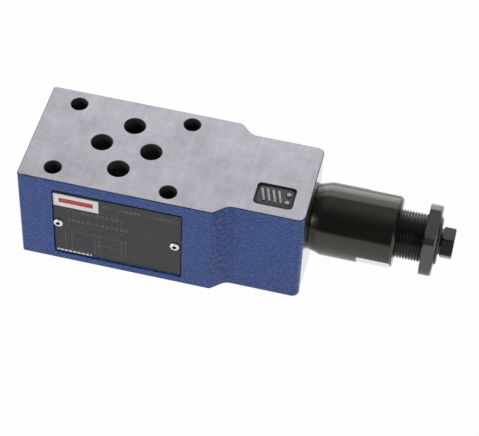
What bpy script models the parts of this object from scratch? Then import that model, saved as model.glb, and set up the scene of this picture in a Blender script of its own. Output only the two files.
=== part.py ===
"""Sandwich-plate pressure reducing valve with an adjusting sleeve. Metres, +Z up.

The origin is the middle of the port pattern on the lower mounting face. +X runs along the valve
towards the adjuster, and +Z points from the lower mounting face to the upper one.
"""

import math

import bmesh
import bpy
from mathutils import Matrix, Vector

# Clearances
SEAT_GAP = 0.0003
TRIM_GAP = 0.0002
THREAD_GAP = 0.0003
SPOOL_GAP = 0.00015
SEAL_GAP = 0.0002
CUT_PAST = 0.002

# Round shapes
OUTER_STEPS = 40
BORE_STEPS = 36
PORT_STEPS = 28
INNER_STEPS = 24
SMALL_STEPS = 20
SEAL_CORD_STEPS = 6
MERGE = 0.00001
SMOOTH_ANGLE = math.radians(32)

# Valve body
BODY_LEFT_REACH = 0.0325
BODY_RIGHT_REACH = 0.0660
BODY_HEIGHT = 0.0400
WIDE_WIDTH = 0.0430
NARROW_WIDTH = 0.0344
WIDE_END = 0.0355
NARROW_START = 0.0402
LEFT_CORNER_RADIUS = 0.0010
SHOULDER_RADIUS = 0.0015
WAIST_RADIUS = 0.0040
RIGHT_CORNER_RADIUS = 0.0025

# Port pattern and bolt pattern
PORT_DIAMETER = 0.0075
PORT_A_X = -0.0088
PORT_B_X = 0.0087
PORT_P_Y = 0.0104
PORT_T_Y = -0.0104
BOLT_HOLE_DIAMETER = 0.0060
BOLT_LEFT_X = -0.0215
BOLT_RIGHT_X = 0.0190
BOLT_LEFT_Y = 0.0155
BOLT_RIGHT_Y = 0.01625

# Seal rings in the lower face
SEAL_RECESS_DIAMETER = 0.0128
SEAL_RECESS_DEPTH = 0.0019
SEAL_CORD = 0.0016

# Pressure port passages
PORT_P_UPPER_DEPTH = 0.0210
PORT_P_LOWER_DEPTH = 0.0130
PASSAGE_DIAMETER = 0.0050
PASSAGE_START = 0.0009
PASSAGE_BEND = 0.0030
PASSAGE_Y = 0.0090
UPPER_PASSAGE_Z = 0.0310
LOWER_PASSAGE_Z = 0.0080
TANK_PASSAGE_Y = -0.0080

# Valve axis, parallel to X
AXIS_Y = 0.0038
AXIS_Z = 0.0200

# Bore for the spool, its chambers and the hole for the bonnet, all measured from the right end
BONNET_HOLE_DEPTH = 0.0140
SPRING_CHAMBER_DEPTH = 0.0280
SPOOL_BORE_DEPTH = 0.0500
OUTLET_CHAMBER_DEPTH = 0.0360
INLET_CHAMBER_DEPTH = 0.0440
CHAMBER_WIDTH = 0.0040
CHAMBER_DIAMETER = 0.0160
SPRING_CHAMBER_DIAMETER = 0.0168
SPOOL_BORE_DIAMETER = 0.0100
MOUTH_CHAMFER = 0.0006

# Gauge connection in the left end
GAUGE_HOLE_DIAMETER = 0.0134
GAUGE_HOLE_DEPTH = 0.0125
GAUGE_FACE_DIAMETER = 0.0166
GAUGE_FACE_DEPTH = 0.0039
GAUGE_COLLAR_THICKNESS = 0.0020
GAUGE_SEAL_THICKNESS = 0.0010
GAUGE_PLUG_LENGTH = 0.0112
GAUGE_SOCKET_FLATS = 0.0060
GAUGE_SOCKET_DEPTH = 0.0050
GAUGE_CHANNEL_DIAMETER = 0.0030
GAUGE_CHANNEL_SIDE = 0.0036
GAUGE_CHANNEL_RISE = 0.0015

# Name plate, its recess and its rivets on the near side
PLATE_RECESS_LEFT = -0.0205
PLATE_RECESS_RIGHT = 0.0253
PLATE_RECESS_LOW = 0.0030
PLATE_RECESS_HIGH = 0.0353
PLATE_RECESS_DEPTH = 0.0012
PLATE_RECESS_RADIUS = 0.0008
PLATE_THICKNESS = 0.0005
PLATE_SIDE_GAP = 0.0005
PLATE_TOP_GAP = 0.0013
RIVET_HEAD_DIAMETER = 0.0034
RIVET_HEAD_THICKNESS = 0.0006
RIVET_SHANK_DIAMETER = 0.0016
RIVET_HOLE_DEPTH = 0.0020
RIVET_EYE_DIAMETER = 0.0013
RIVET_EDGE = 0.0018

# Cast recess for the foundry mark in the upper face
MARK_LEFT = 0.0472
MARK_RIGHT = 0.0608
MARK_NEAR = -0.0133
MARK_FAR = -0.0035
MARK_DEPTH = 0.0008
MARK_RADIUS = 0.0015

# Bonnet
BONNET_NECK_DIAMETER = 0.0232
BONNET_NECK_LENGTH = 0.0004
BONNET_CONE_LENGTH = 0.0041
BONNET_DIAMETER = 0.0257
BONNET_REACH = 0.0297
BONNET_END_CHAMFER = 0.0010
BONNET_THREAD_DIAMETER = 0.0200
BONNET_UNDERCUT_DIAMETER = 0.0188
BONNET_UNDERCUT_LENGTH = 0.0018
BONNET_FLATS = 0.0240
BONNET_FLAT_LENGTH = 0.0122
BONNET_FLAT_ANGLE = math.radians(31.3)
BONNET_SPRING_BORE = 0.0160
BONNET_PILOT_BORE = 0.0148
BONNET_SHOULDER = 0.0060
BONNET_PILOT_LENGTH = 0.0120
BONNET_SEAL_CORD = 0.0015

# Adjusting sleeve and lock nut
SLEEVE_THREAD_DIAMETER = 0.0172
SLEEVE_OUT = 0.0147
SLEEVE_TRAVEL = 0.0060
SLEEVE_THREAD_CHAMFER = 0.0006
SLEEVE_BORE = 0.0100
SLEEVE_CAP_THICKNESS = 0.0080
SLEEVE_PILOT_GAP = 0.0003
SLEEVE_END_PAST_RING = 0.0012
SLEEVE_SEAL_CORD = 0.0010
SLEEVE_SEAL_BACK = 0.0025
SLEEVE_NECK_DIAMETER = 0.0092
SLEEVE_NECK_LENGTH = 0.0007
SLEEVE_HEX_FLATS = 0.0100
SLEEVE_HEX_DIAMETER = 0.0112
SLEEVE_HEX_LENGTH = 0.0042
SLEEVE_HEX_CHAMFER = 0.0005
SLEEVE_HEX_ANGLE = math.radians(2.3)
RING_THICKNESS = 0.0010
RING_RADIAL_WIDTH = 0.0011
RING_OPENING = 0.0030
NUT_FLATS = 0.0240
NUT_DIAMETER = 0.0260
NUT_THICKNESS = 0.00435
NUT_FROM_SLEEVE_END = 0.0009
NUT_CHAMFER = 0.0006
NUT_HEX_ANGLE = math.radians(15.4)

# Control spool, orifice, spring seat, spring and spring plate
SPOOL_STEM_DIAMETER = 0.0060
SPOOL_NOSE_LENGTH = 0.0030
SPOOL_STOP_LENGTH = 0.0007
SPOOL_STOP_DIAMETER = 0.0064
SPOOL_INLET_OPENING = 0.0020
SPOOL_TANK_LAP = 0.0026
SPOOL_LAND_PAST_BORE = 0.0030
SPOOL_RELIEF_GROOVE = 0.0004
SENSING_HOLE_DIAMETER = 0.0020
CROSS_HOLE_DIAMETER = 0.0018
ORIFICE_THREAD_DIAMETER = 0.0040
ORIFICE_LENGTH = 0.0040
ORIFICE_DIAMETER = 0.0010
ORIFICE_SLOT = 0.0006
SEAT_BACK_GAP = 0.0010
SPRING_SEAT_DIAMETER = 0.0140
SPRING_SEAT_THICKNESS = 0.0029
SPRING_GUIDE_DIAMETER = 0.0086
SEAT_GUIDE_LENGTH = 0.0041
SPRING_WIRE = 0.0024
SPRING_MEAN_DIAMETER = 0.0118
SPRING_TURNS = 5.5
SPRING_POINTS_PER_TURN = 14
PLATE_FLANGE_THICKNESS = 0.0023
PLATE_GUIDE_LENGTH = 0.0038
PLATE_STEM_LENGTH = 0.0059

# Places along the valve axis that several pieces share
RIGHT_END = BODY_RIGHT_REACH
HOLE_FLOOR = RIGHT_END - BONNET_HOLE_DEPTH
CHAMBER_FLOOR = RIGHT_END - SPRING_CHAMBER_DEPTH
BORE_FLOOR = RIGHT_END - SPOOL_BORE_DEPTH
OUTLET_CHAMBER = RIGHT_END - OUTLET_CHAMBER_DEPTH
INLET_CHAMBER = RIGHT_END - INLET_CHAMBER_DEPTH
BONNET_SHOULDER_X = RIGHT_END + SEAT_GAP
BONNET_END = RIGHT_END + BONNET_REACH
BONNET_INNER_END = HOLE_FLOOR + BONNET_SEAL_CORD + 2 * SEAL_GAP
PILOT_START = RIGHT_END + BONNET_SHOULDER
PILOT_END = PILOT_START + BONNET_PILOT_LENGTH
SLEEVE_END = BONNET_END + SLEEVE_OUT
SLEEVE_THREAD_START = PILOT_END + SLEEVE_TRAVEL + SEAT_GAP
SLEEVE_INNER_END = PILOT_START - SEAT_GAP - RING_THICKNESS - SLEEVE_END_PAST_RING
PLATE_FLANGE_FACE = SLEEVE_INNER_END - SEAT_GAP - PLATE_FLANGE_THICKNESS
SPOOL_START = BORE_FLOOR + SEAT_GAP
SPOOL_LAND_END = CHAMBER_FLOOR + SPOOL_LAND_PAST_BORE
SPOOL_NOSE_END = SPOOL_LAND_END + SPOOL_NOSE_LENGTH
SEAT_START = SPOOL_LAND_END + SEAT_BACK_GAP
SEAT_FACE = SEAT_START + SPRING_SEAT_THICKNESS
LEFT_END = -BODY_LEFT_REACH
NEAR_SIDE = -WIDE_WIDTH / 2
RECESS_FLOOR_Y = NEAR_SIDE + PLATE_RECESS_DEPTH
RIVET_Z = (PLATE_RECESS_LOW + PLATE_RECESS_HIGH - PLATE_TOP_GAP) / 2


def clear_scene():
    for obj in list(bpy.data.objects):
        bpy.data.objects.remove(obj, do_unlink=True)


def new_collection(name):
    collection = bpy.data.collections.new(name)
    bpy.context.scene.collection.children.link(collection)
    return collection


def material(name, colour, roughness, metallic):
    made = bpy.data.materials.new(name)
    made.use_nodes = True
    shader = made.node_tree.nodes["Principled BSDF"]
    shader.inputs["Base Color"].default_value = (*colour, 1.0)
    shader.inputs["Roughness"].default_value = roughness
    shader.inputs["Metallic"].default_value = metallic
    return made


def add_object(name, mesh, collection):
    obj = bpy.data.objects.new(name, mesh)
    collection.objects.link(obj)
    return obj


def shade(mesh):
    mesh.shade_smooth()
    mesh.set_sharp_from_angle(angle=SMOOTH_ANGLE)


def bake(obj):
    """Replaces the object by the mesh that its modifiers or its curve make, with welded caps."""
    bpy.context.view_layer.update()
    depsgraph = bpy.context.evaluated_depsgraph_get()
    mesh = bpy.data.meshes.new_from_object(obj.evaluated_get(depsgraph))
    shape = bmesh.new()
    shape.from_mesh(mesh)
    bmesh.ops.remove_doubles(shape, verts=shape.verts, dist=MERGE)
    shape.to_mesh(mesh)
    shape.free()
    shade(mesh)
    made = add_object(obj.name + "_mesh", mesh, obj.users_collection[0])
    made.parent = obj.parent
    made.matrix_basis = obj.matrix_basis.copy()
    name = obj.name
    bpy.data.objects.remove(obj, do_unlink=True)
    made.name = name
    return made


def turned(name, outline, collection, steps=BORE_STEPS, ring=False):
    """Spins (radius, place along the axis) points about local Z. They run down the outer side."""
    mesh = bpy.data.meshes.new(name)
    edges = [(i, i + 1) for i in range(len(outline) - 1)]
    if ring:
        edges.append((len(outline) - 1, 0))
    mesh.from_pydata([(radius, 0.0, along) for radius, along in outline], edges, [])
    obj = add_object(name, mesh, collection)
    screw = obj.modifiers.new("Turn", "SCREW")
    screw.axis = "Z"
    screw.angle = math.tau
    screw.steps = steps
    screw.render_steps = steps
    screw.use_merge_vertices = True
    screw.merge_threshold = MERGE
    return bake(obj)


def hexagon(name, flats, low, high, angle, collection):
    """A hexagonal prism along local Z, with a corner at the given angle."""
    corner = flats / math.sqrt(3)
    outline = [(0.0, high), (corner, high), (corner, low), (0.0, low)]
    obj = turned(name, outline, collection, steps=6)
    obj.rotation_euler = (0.0, 0.0, angle)
    return obj


def rounded_box(name, size, radius, collection, rounded_axis=2):
    """A box with the four edges along one of its axes rounded."""
    shape = bmesh.new()
    bmesh.ops.create_cube(shape, size=1.0, matrix=Matrix.Diagonal((*size, 1.0)))
    if radius > 0.0:
        along = [
            edge
            for edge in shape.edges
            if abs((edge.verts[0].co - edge.verts[1].co).normalized()[rounded_axis]) > 0.9
        ]
        bmesh.ops.bevel(shape, geom=along, offset=radius, segments=4, profile=0.5, affect="EDGES")
    mesh = bpy.data.meshes.new(name)
    shape.to_mesh(mesh)
    shape.free()
    return add_object(name, mesh, collection)


def cylinder(name, diameter, low, high, collection, steps=PORT_STEPS):
    """A cylinder along local Z between two heights."""
    radius = diameter / 2
    outline = [(0.0, high), (radius, high), (radius, low), (0.0, low)]
    return turned(name, outline, collection, steps=steps)


def tube_along(name, points, diameter, collection, resolution=2):
    """A round bar along a polyline, with filled ends."""
    curve = bpy.data.curves.new(name, "CURVE")
    curve.dimensions = "3D"
    curve.bevel_depth = diameter / 2
    curve.bevel_resolution = resolution
    curve.use_fill_caps = True
    spline = curve.splines.new("POLY")
    spline.points.add(len(points) - 1)
    for spline_point, place in zip(spline.points, points):
        spline_point.co = (*place, 1.0)
    return bake(add_object(name, curve, collection))


def torus(name, mean_diameter, cord, collection, steps=PORT_STEPS):
    """A seal ring about local Z."""
    mean = mean_diameter / 2
    outline = [
        (mean + cord / 2 * math.cos(turn), -cord / 2 * math.sin(turn))
        for turn in (math.tau * i / SEAL_CORD_STEPS for i in range(SEAL_CORD_STEPS))
    ]
    return turned(name, outline, collection, steps=steps, ring=True)


def boolean(obj, cutter, operation="DIFFERENCE"):
    modifier = obj.modifiers.new(operation.title(), "BOOLEAN")
    modifier.operation = operation
    modifier.solver = "EXACT"
    modifier.object = cutter


def cut_by_all(obj, collection):
    modifier = obj.modifiers.new("Cuts", "BOOLEAN")
    modifier.operation = "DIFFERENCE"
    modifier.solver = "EXACT"
    modifier.operand_type = "COLLECTION"
    modifier.collection = collection


def arc(corner, before, after, radius, steps=5):
    """The points of a fillet of the given radius at a corner of an outline."""
    to_before = (before - corner).normalized()
    to_after = (after - corner).normalized()
    half = to_before.angle(to_after) / 2
    reach = radius / math.tan(half)
    centre = corner + (to_before + to_after).normalized() * radius / math.sin(half)
    start = corner + to_before * reach - centre
    end = corner + to_after * reach - centre
    turn = start.angle_signed(end)
    return [centre + Matrix.Rotation(-turn * i / steps, 2) @ start for i in range(steps + 1)]


def body_outline():
    """The plan of the valve body: wide round the port pattern, narrow where the bonnet screws in."""
    wide = WIDE_WIDTH / 2
    narrow = NARROW_WIDTH / 2
    corners = [
        (Vector((LEFT_END, 0.0)), 0.0),
        (Vector((LEFT_END, wide)), LEFT_CORNER_RADIUS),
        (Vector((WIDE_END, wide)), SHOULDER_RADIUS),
        (Vector((NARROW_START, narrow)), WAIST_RADIUS),
        (Vector((RIGHT_END, narrow)), RIGHT_CORNER_RADIUS),
        (Vector((RIGHT_END, 0.0)), 0.0),
    ]
    far_half = []
    for i in range(1, len(corners) - 1):
        far_half += arc(corners[i][0], corners[i - 1][0], corners[i + 1][0], corners[i][1])
    near_half = [Vector((point.x, -point.y)) for point in reversed(far_half)]
    return far_half + near_half


def body_blank(collection):
    curve = bpy.data.curves.new("housing", "CURVE")
    curve.dimensions = "2D"
    curve.fill_mode = "BOTH"
    curve.extrude = BODY_HEIGHT / 2
    outline = body_outline()
    spline = curve.splines.new("POLY")
    spline.points.add(len(outline) - 1)
    for spline_point, place in zip(spline.points, outline):
        spline_point.co = (place.x, place.y, 0.0, 1.0)
    spline.use_cyclic_u = True
    obj = add_object("housing", curve, collection)
    obj.location = (0.0, 0.0, BODY_HEIGHT / 2)
    return bake(obj)


def port_places():
    return {
        "a": (PORT_A_X, 0.0),
        "b": (PORT_B_X, 0.0),
        "p": (0.0, PORT_P_Y),
        "t": (0.0, PORT_T_Y),
    }


def cut_ports_and_bolt_holes(cutters):
    """A, B and T run right through. P is blind from both faces, and the spool joins its halves."""
    above = BODY_HEIGHT + CUT_PAST
    spans = {
        "a": [(-CUT_PAST, above)],
        "b": [(-CUT_PAST, above)],
        "t": [(-CUT_PAST, above)],
        "p": [(BODY_HEIGHT - PORT_P_UPPER_DEPTH, above), (-CUT_PAST, PORT_P_LOWER_DEPTH)],
    }
    for port, (x, y) in port_places().items():
        for number, (low, high) in enumerate(spans[port]):
            hole = cylinder(f"cut_port_{port}_{number}", PORT_DIAMETER, low, high, cutters)
            hole.location = (x, y, 0.0)
        recess = cylinder(
            f"cut_seal_recess_{port}", SEAL_RECESS_DIAMETER, -CUT_PAST, SEAL_RECESS_DEPTH, cutters
        )
        recess.location = (x, y, 0.0)
    for x, y in ((BOLT_LEFT_X, BOLT_LEFT_Y), (BOLT_RIGHT_X, BOLT_RIGHT_Y)):
        for side in (-1, 1):
            hole = cylinder(
                "cut_bolt_hole", BOLT_HOLE_DIAMETER, -CUT_PAST, above, cutters, SMALL_STEPS
            )
            hole.location = (x, side * y, 0.0)


def cut_passages(cutters):
    """The cored passages from the ports to the chambers round the spool, and the gauge channel."""
    inside = CHAMBER_DIAMETER / 4
    bend = PASSAGE_BEND
    upper = [
        (PASSAGE_START, PASSAGE_Y, UPPER_PASSAGE_Z),
        (OUTLET_CHAMBER - 2 * bend, PASSAGE_Y, UPPER_PASSAGE_Z),
        (OUTLET_CHAMBER - bend / 2, PASSAGE_Y - bend / 2, UPPER_PASSAGE_Z - bend / 2),
        (OUTLET_CHAMBER, AXIS_Y + inside, AXIS_Z + inside),
    ]
    lower = [
        (PASSAGE_START, PASSAGE_Y, LOWER_PASSAGE_Z),
        (INLET_CHAMBER - 2 * bend, PASSAGE_Y, LOWER_PASSAGE_Z),
        (INLET_CHAMBER - bend / 2, PASSAGE_Y - bend / 2, LOWER_PASSAGE_Z + bend / 2),
        (INLET_CHAMBER, AXIS_Y + inside, AXIS_Z - inside),
    ]
    tank = [
        (PASSAGE_START, TANK_PASSAGE_Y, AXIS_Z),
        (CHAMBER_FLOOR - 2 * bend, TANK_PASSAGE_Y, AXIS_Z),
        (CHAMBER_FLOOR + bend / 2, TANK_PASSAGE_Y + bend, AXIS_Z),
        (CHAMBER_FLOOR + 2 * bend, AXIS_Y - SPRING_CHAMBER_DIAMETER / 3, AXIS_Z),
    ]
    for name, route in (("upper", upper), ("lower", lower), ("tank", tank)):
        tube_along(f"cut_passage_{name}", route, PASSAGE_DIAMETER, cutters)
    channel_y = AXIS_Y + GAUGE_CHANNEL_SIDE
    channel_z = AXIS_Z + GAUGE_CHANNEL_RISE
    tube_along(
        "cut_gauge_channel",
        [(LEFT_END + GAUGE_HOLE_DEPTH / 2, channel_y, channel_z), (0.0, channel_y, channel_z)],
        GAUGE_CHANNEL_DIAMETER,
        cutters,
    )


def cut_stepped_bore(axis, cutters):
    """One stepped cutter for the bonnet's hole, the spring chamber and the spool's bore."""
    hole = BONNET_THREAD_DIAMETER / 2 + THREAD_GAP
    spring = SPRING_CHAMBER_DIAMETER / 2
    bore = SPOOL_BORE_DIAMETER / 2
    chamber = CHAMBER_DIAMETER / 2
    outline = [
        (0.0, RIGHT_END + CUT_PAST),
        (hole + MOUTH_CHAMFER, RIGHT_END + CUT_PAST),
        (hole + MOUTH_CHAMFER, RIGHT_END),
        (hole, RIGHT_END - MOUTH_CHAMFER),
        (hole, HOLE_FLOOR),
        (spring, HOLE_FLOOR),
        (spring, CHAMBER_FLOOR),
        (bore, CHAMBER_FLOOR),
    ]
    for centre in (OUTLET_CHAMBER, INLET_CHAMBER):
        outline += [
            (bore, centre + CHAMBER_WIDTH / 2),
            (chamber, centre + CHAMBER_WIDTH / 2),
            (chamber, centre - CHAMBER_WIDTH / 2),
            (bore, centre - CHAMBER_WIDTH / 2),
        ]
    outline += [(bore, BORE_FLOOR), (0.0, BORE_FLOOR)]
    turned("cut_stepped_bore", outline, cutters).parent = axis


def cut_gauge_hole(axis, cutters):
    face = GAUGE_FACE_DIAMETER / 2
    hole = GAUGE_HOLE_DIAMETER / 2
    outline = [
        (0.0, LEFT_END + GAUGE_HOLE_DEPTH),
        (hole, LEFT_END + GAUGE_HOLE_DEPTH),
        (hole, LEFT_END + GAUGE_FACE_DEPTH),
        (face, LEFT_END + GAUGE_FACE_DEPTH),
        (face, LEFT_END - CUT_PAST),
        (0.0, LEFT_END - CUT_PAST),
    ]
    turned("cut_gauge_hole", outline, cutters).parent = axis


def rivet_places():
    return {
        "left": PLATE_RECESS_LEFT + RIVET_EDGE,
        "right": PLATE_RECESS_RIGHT - PLATE_SIDE_GAP - RIVET_EDGE - PLATE_SIDE_GAP / 2,
    }


def cut_recesses(cutters):
    """The recess of the name plate with its rivet holes, and the recess in the upper face."""
    plate = rounded_box(
        "cut_plate_recess",
        (
            PLATE_RECESS_RIGHT - PLATE_RECESS_LEFT,
            PLATE_RECESS_DEPTH * 2,
            PLATE_RECESS_HIGH - PLATE_RECESS_LOW,
        ),
        PLATE_RECESS_RADIUS,
        cutters,
        rounded_axis=1,
    )
    plate.location = (
        (PLATE_RECESS_LEFT + PLATE_RECESS_RIGHT) / 2,
        NEAR_SIDE,
        (PLATE_RECESS_LOW + PLATE_RECESS_HIGH) / 2,
    )
    for x in rivet_places().values():
        hole = cylinder(
            "cut_rivet_hole",
            RIVET_SHANK_DIAMETER + 2 * TRIM_GAP,
            -RIVET_HOLE_DEPTH,
            PLATE_RECESS_DEPTH / 2,
            cutters,
            SMALL_STEPS,
        )
        hole.location = (x, RECESS_FLOOR_Y, RIVET_Z)
        hole.rotation_euler = (math.pi / 2, 0.0, 0.0)
    mark = rounded_box(
        "cut_mark_recess",
        (MARK_RIGHT - MARK_LEFT, MARK_FAR - MARK_NEAR, MARK_DEPTH * 2),
        MARK_RADIUS,
        cutters,
    )
    mark.location = ((MARK_LEFT + MARK_RIGHT) / 2, (MARK_NEAR + MARK_FAR) / 2, BODY_HEIGHT)


def make_housing(parts, cutters, axis):
    housing = body_blank(parts)
    cut_ports_and_bolt_holes(cutters)
    cut_passages(cutters)
    cut_stepped_bore(axis, cutters)
    cut_gauge_hole(axis, cutters)
    cut_recesses(cutters)
    cut_by_all(housing, cutters)
    return housing


def make_name_plate(parts, cutters):
    width = PLATE_RECESS_RIGHT - PLATE_RECESS_LEFT - PLATE_SIDE_GAP * 1.6
    height = PLATE_RECESS_HIGH - PLATE_RECESS_LOW - PLATE_TOP_GAP - SEAT_GAP
    centre_y = RECESS_FLOOR_Y - TRIM_GAP - PLATE_THICKNESS / 2
    plate = rounded_box(
        "name_plate", (width, PLATE_THICKNESS, height), PLATE_RECESS_RADIUS / 2, parts, 1
    )
    plate.location = (
        PLATE_RECESS_LEFT + PLATE_SIDE_GAP * 0.6 + width / 2,
        centre_y,
        PLATE_RECESS_LOW + SEAT_GAP + height / 2,
    )
    for x in rivet_places().values():
        hole = cylinder(
            "cut_plate_hole",
            RIVET_SHANK_DIAMETER + 2 * TRIM_GAP,
            -PLATE_THICKNESS,
            PLATE_THICKNESS,
            cutters,
            SMALL_STEPS,
        )
        hole.location = (x, centre_y, RIVET_Z)
        hole.rotation_euler = (math.pi / 2, 0.0, 0.0)
        boolean(plate, hole)
    return plate


def make_rivets(parts):
    """Tubular drive rivets: a low round head with an eye, and a short shank in the housing."""
    head = RIVET_HEAD_DIAMETER / 2
    shank = RIVET_SHANK_DIAMETER / 2
    eye = RIVET_EYE_DIAMETER / 2
    seat = RECESS_FLOOR_Y - 2 * TRIM_GAP - PLATE_THICKNESS
    reach = seat - RECESS_FLOOR_Y - RIVET_HOLE_DEPTH + TRIM_GAP
    outline = [
        (0.0, RIVET_HEAD_THICKNESS / 3),
        (eye, RIVET_HEAD_THICKNESS / 3),
        (eye, RIVET_HEAD_THICKNESS * 0.9),
        (eye * 1.25, RIVET_HEAD_THICKNESS),
        (head * 0.7, RIVET_HEAD_THICKNESS * 0.92),
        (head * 0.93, RIVET_HEAD_THICKNESS * 0.6),
        (head, RIVET_HEAD_THICKNESS * 0.2),
        (head, 0.0),
        (shank, 0.0),
        (shank, reach + TRIM_GAP),
        (shank * 0.7, reach),
        (0.0, reach),
    ]
    rivets = []
    for side, x in rivet_places().items():
        rivet = turned(f"name_plate_rivet_{side}", outline, parts, SMALL_STEPS)
        rivet.location = (x, seat, RIVET_Z)
        rivet.rotation_euler = (math.pi / 2, 0.0, 0.0)
        rivets.append(rivet)
    return rivets


def make_bonnet(parts, cutters, axis):
    """The bonnet: threaded shank, conical neck, wrench flats, and a stepped bore for the sleeve."""
    outer = BONNET_DIAMETER / 2
    neck = BONNET_NECK_DIAMETER / 2
    thread = BONNET_THREAD_DIAMETER / 2
    undercut = BONNET_UNDERCUT_DIAMETER / 2
    spring = BONNET_SPRING_BORE / 2
    pilot = BONNET_PILOT_BORE / 2
    inner_thread = SLEEVE_THREAD_DIAMETER / 2 + THREAD_GAP
    neck_end = BONNET_SHOULDER_X + BONNET_NECK_LENGTH
    chamfer = thread - undercut
    outline = [
        (outer - BONNET_END_CHAMFER, BONNET_END),
        (outer, BONNET_END - BONNET_END_CHAMFER),
        (outer, neck_end + BONNET_CONE_LENGTH),
        (neck, neck_end),
        (neck, BONNET_SHOULDER_X),
        (undercut, BONNET_SHOULDER_X),
        (undercut, BONNET_SHOULDER_X - BONNET_UNDERCUT_LENGTH),
        (thread, BONNET_SHOULDER_X - BONNET_UNDERCUT_LENGTH - chamfer),
        (thread, BONNET_INNER_END + chamfer),
        (undercut, BONNET_INNER_END),
        (spring, BONNET_INNER_END),
        (spring, PILOT_START),
        (pilot, PILOT_START),
        (pilot, PILOT_END),
        (inner_thread, PILOT_END),
        (inner_thread, BONNET_END - SLEEVE_THREAD_CHAMFER),
        (inner_thread + SLEEVE_THREAD_CHAMFER, BONNET_END),
    ]
    bonnet = turned("bonnet", outline, parts, OUTER_STEPS, ring=True)
    bonnet.parent = axis
    thickness = BONNET_DIAMETER
    for side in (-1, 1):
        length = BONNET_FLAT_LENGTH + CUT_PAST
        cutter = rounded_box("cut_wrench_flat", (thickness, thickness * 2, length), 0.0, cutters)
        turn = Matrix.Rotation(BONNET_FLAT_ANGLE, 4, "Z")
        place = Vector((side * (BONNET_FLATS + thickness) / 2, 0.0, BONNET_END + CUT_PAST - length / 2))
        cutter.parent = axis
        cutter.matrix_basis = turn @ Matrix.Translation(place)
        boolean(bonnet, cutter)
    return bonnet


def make_adjusting_sleeve(parts, cutters, axis):
    """The sleeve: outer thread, plain pilot with a seal groove, blind bore, and a small hexagon."""
    thread = SLEEVE_THREAD_DIAMETER / 2
    pilot = BONNET_PILOT_BORE / 2 - SLEEVE_PILOT_GAP
    bore = SLEEVE_BORE / 2
    neck = SLEEVE_NECK_DIAMETER / 2
    chamfer = SLEEVE_THREAD_CHAMFER
    seal_low, seal_high, seal_floor = sleeve_seal_groove()
    ring_low, ring_high, ring_floor = retaining_ring_groove()
    outline = [
        (0.0, SLEEVE_END + SLEEVE_NECK_LENGTH + SLEEVE_HEX_LENGTH / 2),
        (neck, SLEEVE_END + SLEEVE_NECK_LENGTH + SLEEVE_HEX_LENGTH / 2),
        (neck, SLEEVE_END),
        (thread - chamfer, SLEEVE_END),
        (thread, SLEEVE_END - chamfer),
        (thread, SLEEVE_THREAD_START + chamfer),
        (thread - chamfer, SLEEVE_THREAD_START),
        (pilot, SLEEVE_THREAD_START),
        (pilot, seal_high),
        (seal_floor, seal_high),
        (seal_floor, seal_low),
        (pilot, seal_low),
        (pilot, ring_high),
        (ring_floor, ring_high),
        (ring_floor, ring_low),
        (pilot, ring_low),
        (pilot, SLEEVE_INNER_END + SEAT_GAP),
        (pilot - SEAT_GAP, SLEEVE_INNER_END),
        (bore, SLEEVE_INNER_END),
        (bore, SLEEVE_END - SLEEVE_CAP_THICKNESS - bore / 2),
        (0.0, SLEEVE_END - SLEEVE_CAP_THICKNESS),
    ]
    sleeve = turned("adjusting_sleeve", outline, parts, OUTER_STEPS)
    sleeve.parent = axis
    boolean(sleeve, sleeve_hexagon(cutters, axis), "UNION")
    return sleeve


def sleeve_hexagon(cutters, axis):
    """The sleeve's hexagon: a chamfered disc trimmed to six flats."""
    low = SLEEVE_END + SLEEVE_NECK_LENGTH
    high = low + SLEEVE_HEX_LENGTH
    edge = SLEEVE_HEX_DIAMETER / 2
    flat = SLEEVE_HEX_FLATS / 2
    outline = [
        (0.0, high),
        (flat, high),
        (edge, high - SLEEVE_HEX_CHAMFER),
        (edge, low + SLEEVE_HEX_CHAMFER),
        (flat, low),
        (0.0, low),
    ]
    disc = turned("add_sleeve_hexagon", outline, cutters)
    disc.parent = axis
    flats = hexagon(
        "trim_sleeve_hexagon",
        SLEEVE_HEX_FLATS,
        low - CUT_PAST,
        high + CUT_PAST,
        SLEEVE_HEX_ANGLE,
        cutters,
    )
    flats.parent = axis
    boolean(disc, flats, "INTERSECT")
    return disc


def sleeve_seal_groove():
    """Low end, high end and floor radius of the groove for the sleeve's seal ring."""
    centre = PILOT_END - SLEEVE_SEAL_BACK
    half = SLEEVE_SEAL_CORD / 2 + SEAT_GAP
    return centre - half, centre + half, BONNET_PILOT_BORE / 2 - SLEEVE_SEAL_CORD - 2 * SEAL_GAP


def retaining_ring_groove():
    """Low end, high end and floor radius of the groove for the retaining ring."""
    high = PILOT_START - SEAT_GAP / 2
    low = PILOT_START - 2 * SEAT_GAP - RING_THICKNESS
    return low, high, retaining_ring_outer() - RING_RADIAL_WIDTH - SEAL_GAP


def retaining_ring_outer():
    return BONNET_SPRING_BORE / 2 - SEAL_GAP


def make_sleeve_seal_ring(parts, axis):
    low, high, floor = sleeve_seal_groove()
    mean = 2 * (floor + SEAL_GAP) + SLEEVE_SEAL_CORD
    ring = torus("sleeve_seal_ring", mean, SLEEVE_SEAL_CORD, parts)
    ring.parent = axis
    ring.location = (0.0, 0.0, (low + high) / 2)
    return ring


def make_retaining_ring(parts, cutters, axis):
    """An open spring ring that stops the sleeve at the bonnet's shoulder."""
    outer = retaining_ring_outer()
    inner = outer - RING_RADIAL_WIDTH
    high = PILOT_START - SEAT_GAP
    low = high - RING_THICKNESS
    outline = [(outer, high), (outer, low), (inner, low), (inner, high)]
    ring = turned("sleeve_retaining_ring", outline, parts, OUTER_STEPS, ring=True)
    ring.parent = axis
    opening = rounded_box(
        "cut_ring_opening", (RING_OPENING, outer * 2, RING_THICKNESS * 3), 0.0, cutters
    )
    opening.parent = axis
    opening.location = (0.0, -outer, (low + high) / 2)
    boolean(ring, opening)
    return ring


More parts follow.
